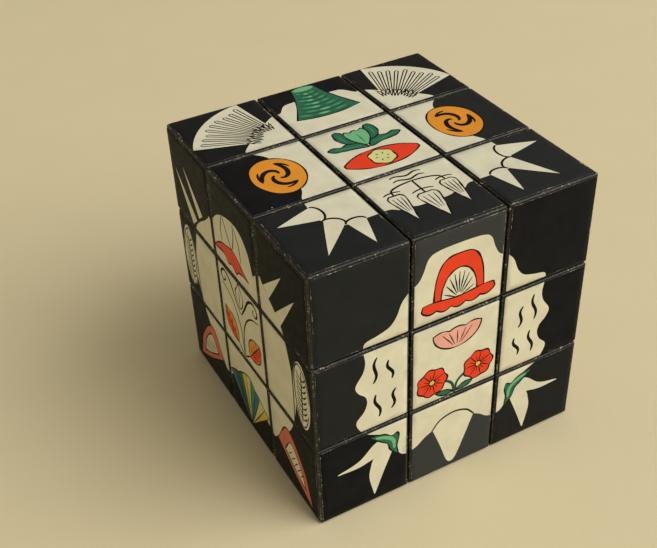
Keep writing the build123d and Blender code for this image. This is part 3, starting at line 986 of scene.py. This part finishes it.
def encloses(outline, points):
    """Which points lie in the outline: those round which it winds, counting each edge that passes the
    point's height to its right as one turn up or down."""
    held = (points > outline.min(0)).all(1) & (points < outline.max(0)).all(1)
    turns = np.zeros(len(points), int)
    x, y = points[held].T
    for (x0, y0), (x1, y1) in zip(outline, np.roll(outline, -1, axis=0)):
        if y0 != y1:
            crosses = (np.minimum(y0, y1) <= y) & (y < np.maximum(y0, y1))
            passed = crosses & (x < x0 + (y - y0) * (x1 - x0) / (y1 - y0))
            turns[held] += np.sign(y1 - y0).astype(int) * passed
    return turns != 0


def cut_areas(areas, middle):
    """Cuts one label's top into areas of ink. Returns its points, about the label's middle, its
    triangles and each triangle's ink. Where areas overlap, the one printed last shows. A grid of
    points inside lets the top bend."""
    outline = rounded_square(LABEL_SIDE - 2 * LABEL_BEVEL, LABEL_CORNER)
    reach = LABEL_SIDE / 2
    near = [("black", outline)]
    for name, points in areas:
        local = points - middle
        if (local.max(0) > -reach).all() and (local.min(0) < reach).all():
            near.append((name, local))
    grid = np.linspace(-0.44, 0.44, LABEL_GRID) * LABEL_SIDE
    inner = np.stack(np.meshgrid(grid, grid), -1).reshape(-1, 2)
    points = np.vstack([o for _, o in near] + [inner])
    starts = np.cumsum([0] + [len(o) for _, o in near])
    edges = [(k, k + 1 if k + 1 < b else a) for a, b in zip(starts, starts[1:]) for k in range(a, b)]
    found = geometry.delaunay_2d_cdt([Vector(p) for p in points], edges, [], 0, SAME_CUT, False)
    places, triangles = np.array([tuple(v) for v in found[0]]), np.array(found[2])
    centres = places[triangles].mean(1)
    shown = np.full(len(centres), -1)
    for number, (_, polygon) in enumerate(near):
        shown[encloses(polygon, centres)] = number
    inside = encloses(outline, centres)
    used = np.unique(triangles[inside])
    triangles = np.searchsorted(used, triangles[inside])
    return places[used], triangles, [near[k][0] for k in shown[inside]]


def rim_of(triangles):
    """The edges that only one triangle has, each in that triangle's direction."""
    edges = np.vstack([triangles[:, [0, 1]], triangles[:, [1, 2]], triangles[:, [2, 0]]])
    keys = np.sort(edges, axis=1)
    _, first, count = np.unique(keys, axis=0, return_index=True, return_counts=True)
    return edges[first[count == 1]]


def plate(flat, lift, triangles):
    """Closes a top of triangles into a thin plate: below it a ring a bevel further out and down, a ring
    at the plastic, and a flat underside. Returns all points, and the faces below the top."""
    top = np.column_stack([flat, LABEL_TOP + lift])
    rim = rim_of(triangles)
    order = rim[:, 0][np.argsort(np.arctan2(*flat[rim[:, 0]].T[::-1]))]
    edge = flat[order]
    reach = LABEL_SIDE / 2 - LABEL_BEVEL - LABEL_CORNER
    away = edge - np.clip(edge, -reach, reach)
    away /= np.maximum(np.hypot(*away.T), 1e-9)[:, None]
    wide = edge + away * LABEL_BEVEL
    bevelled = np.column_stack([wide, top[order, 2] - LABEL_BEVEL])
    foot = np.column_stack([wide, np.full(len(wide), LABEL_FOOT)])
    count, ring = len(top), len(order)
    here, there = np.arange(ring), np.roll(np.arange(ring), -1)
    upper = np.column_stack([order[there], order[here], count + here, count + there])
    lower = np.column_stack([there, here, ring + here, ring + there]) + count
    under = (count + ring + here)[::-1]
    return np.vstack([top, bevelled, foot]), [*upper.tolist(), *lower.tolist(), under.tolist()]


def label_mesh(name, areas, column, row, directions, random, painted_sheen, paints):
    """One label: a plate whose top is the cut ink, lifted by two crossed slow sines, and stuck on a
    little askew. It carries its own map from 0 to 1, and how far a painted sheen lightens its black."""
    middle = np.array([column, row]) * PITCH
    flat, triangles, inks = cut_areas(areas, middle)
    phase = random.uniform(0, 2 * np.pi, 2)
    swell = np.sin(flat * LABEL_SWELL + phase).prod(axis=1)
    points, rest = plate(flat, LABEL_WAVE * (swell - 1), triangles)
    turn = random.uniform(-LABEL_TURN, LABEL_TURN)
    shift = random.uniform(-LABEL_SHIFT, LABEL_SHIFT, 2)
    own_map = points[:, :2] / LABEL_SIDE + 0.5
    points[:, :2] = placed(points[:, :2], middle + shift, turn)
    right, up, out = (np.array(d, float) for d in directions)
    points = (points[:, :1] * right + points[:, 1:2] * up + points[:, 2:] * out) * MM
    mesh = bpy.data.meshes.new(name)
    mesh.from_pydata(points.tolist(), [], triangles.tolist() + rest)
    shown = [*sorted(set(inks)), "edge"]
    for key in shown:
        mesh.materials.append(paints[key])
    index = [shown.index(key) for key in inks] + [shown.index("edge")] * len(rest)
    mesh.polygons.foreach_set("material_index", index)
    corners = np.empty(len(mesh.loops), int)
    mesh.loops.foreach_get("vertex_index", corners)
    mesh.uv_layers.new(name="label").data.foreach_set("uv", own_map[corners].ravel())
    # The share of painted sheen on this label's black, at each point.
    sheen_share = mesh.attributes.new("painted_sheen", "FLOAT", "POINT")
    sheen_share.data.foreach_set("value", np.full(len(points), painted_sheen))
    mesh.polygons.foreach_set("use_smooth", [True] * len(inks) + [False] * len(rest))
    mesh.validate()
    return mesh


def label_home(side, column, row):
    """The body that a label rides on and the node that it stands for."""
    if (column, row) == (0, 0):
        return f"{side}_centre", f"centre_sticker_{side}"
    if side in ("top", "bottom"):
        return f"{side}_layer", f"{side}_face_stickers"
    return f"{LEVELS[row]}_layer", f"{LEVELS[row]}_row_stickers"


def make_labels(paints):
    """Fifty-four labels. A painted sheen lightens the black by a different amount on each, and most of
    all in the middle column of the front."""
    for number, (side, directions) in enumerate(SIDES.items()):
        areas = ORNAMENTS[side]().areas
        random = np.random.default_rng(SEED + 100 + number)
        for row in (1, 0, -1):
            for column in (-1, 0, 1):
                name = f"label_{side}_{ROWS[row]}_{COLUMNS[column]}"
                # Painted sheen on the black: random on each label, and more in the front's middle
                # column.
                painted_sheen = random.uniform(0.0, PAINTED_SHEEN_MOST)
                if side == "front" and column == 0:
                    painted_sheen += PAINTED_SHEEN_FRONT
                mesh = label_mesh(name, areas, column, row, directions, random, painted_sheen, paints)
                piece = add_object(name, mesh)
                body, node = label_home(side, column, row)
                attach(piece, body)
                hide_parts(node)


# ======== Floor, light and camera ====================================================================
def make_floor():
    """A pale matt sheet: level round the cube, and far out it curves up on all sides as a quarter
    circle, so that no view looks past its edge."""
    turn = np.linspace(0, np.pi / 2, 13)[1:]
    level = np.linspace(0.02, FLOOR_LEVEL, 18)
    radius = np.concatenate([level, FLOOR_LEVEL + FLOOR_BEND * np.sin(turn)])[:, None]
    rise = np.concatenate([0 * level, FLOOR_BEND * (1 - np.cos(turn))])[:, None]
    around = np.linspace(0, 2 * np.pi, FLOOR_FACETS, endpoint=False)
    z = FLOOR + rise + 0 * around
    points = np.stack([radius * np.cos(around), radius * np.sin(around), z], -1).reshape(-1, 3)
    mesh = bpy.data.meshes.new("floor")
    faces = [*rings(len(radius), FLOOR_FACETS).tolist(), list(range(FLOOR_FACETS))]
    mesh.from_pydata(points.tolist(), [], faces)
    f = Finish("pale_paper", 0.75)
    f.set("Base Color", f.blend(f.noise(60, 3), *FLOOR_PAPER))
    f.bump(f.noise(900, 3), 0.00004)
    mesh.materials.append(f.material)
    mesh.polygons.foreach_set("use_smooth", [True] * len(mesh.polygons))
    add_object("floor", mesh)


def add_lamp(name, place, size, power, colour):
    """A square soft lamp that points at the cube."""
    data = bpy.data.lights.new(name, "AREA")
    data.size, data.energy, data.color = size, power, colour
    lamp = add_object(name, data)
    lamp.location = place
    lamp.rotation_euler = (-Vector(place)).to_track_quat("-Z", "Y").to_euler()


def make_lights():
    """A large soft key from the front right, and a dim warm room."""
    add_lamp("key", KEY_PLACE, KEY_SIZE, KEY_POWER, KEY_COLOUR)
    world = bpy.data.worlds.new("room")
    world.use_nodes = True
    glow = world.node_tree.nodes["Background"].inputs
    glow["Color"].default_value = ROOM_COLOUR
    glow["Strength"].default_value = ROOM_STRENGTH
    bpy.context.scene.world = world
    bpy.context.scene.view_settings.view_transform = "Standard"


def make_camera():
    """The camera looks down at the front left edge of the cube, and is rolled a little."""
    azimuth, elevation, roll = np.radians(CAMERA_TURN)
    aside, above, distance = CAMERA_OFFSET
    back = Vector((np.sin(azimuth) * np.cos(elevation), -np.cos(azimuth) * np.cos(elevation),
                   np.sin(elevation)))
    level = Vector((0, 0, 1)).cross(back).normalized()
    upright = back.cross(level)
    right = level * np.cos(roll) + upright * np.sin(roll)
    up = upright * np.cos(roll) - level * np.sin(roll)
    place = right * aside + up * above + back * distance
    data = bpy.data.cameras.new("camera")
    data.sensor_width, data.lens = 36.0, CAMERA_LENS
    data.clip_start, data.clip_end = 0.01, 10.0
    camera = add_object("camera", data)
    turned = Matrix((right, up, back)).transposed().to_4x4()
    camera.matrix_world = Matrix.Translation(place) @ turned
    bpy.context.scene.camera = camera


# ======== The scene ==================================================================================
make_camera()
make_floor()
make_lights()
paints = {name: ink(name, colour) for name, colour in INKS.items()}
paints["edge"] = cut_edge()
finishes = {
    "black_plastic": black_plastic(),
    "core_plastic": core_plastic(),
    "spring_steel": steel("spring_steel", *SPRING_STEEL, (3000, 3000, 300)),
    "screw_steel": steel("screw_steel", *SCREW_STEEL, (500, 500, 4000)),
    "printed_label": paints["black"],
}
dress_nodes(finishes)
for side in SIDES:
    coil_spring(side, finishes["spring_steel"])
make_labels(paints)
